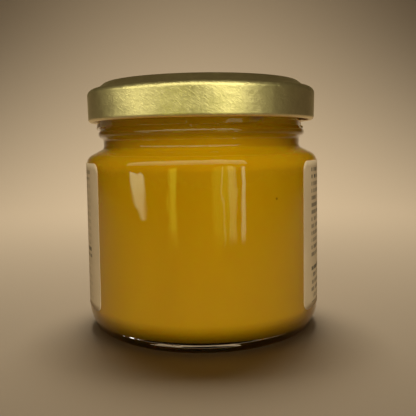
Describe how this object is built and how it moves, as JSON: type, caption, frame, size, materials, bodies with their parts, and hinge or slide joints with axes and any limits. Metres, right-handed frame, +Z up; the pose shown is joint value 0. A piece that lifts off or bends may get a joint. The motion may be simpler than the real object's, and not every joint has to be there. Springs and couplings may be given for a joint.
{
  "type": "fruit spread jar",
  "caption": "Small round glass jar filled with smooth golden fruit spread, closed by a twist-off metal lid, with a wrap-around paper label.",
  "frame": {"origin": "middle of the flat ring that the jar stands on", "axes": "+Z up along the jar's axis; the gap between the label's two ends faces -Y, +X is to the right of it"},
  "size_m": [0.0712, 0.071, 0.0743],
  "materials": {
    "glass": "clear flint glass, smooth, with faint mould seams",
    "spread": "smooth opaque golden yellow fruit spread, moist",
    "lid": "satin gold lacquer on thin sheet metal, finely scuffed",
    "label": "matt off-white paper with plain grey print bars"
  },
  "bodies": {
    "root": {"glass_jar": "glass", "spread": "spread", "lid": "lid", "label": "label"}
  },
  "joints": []
}
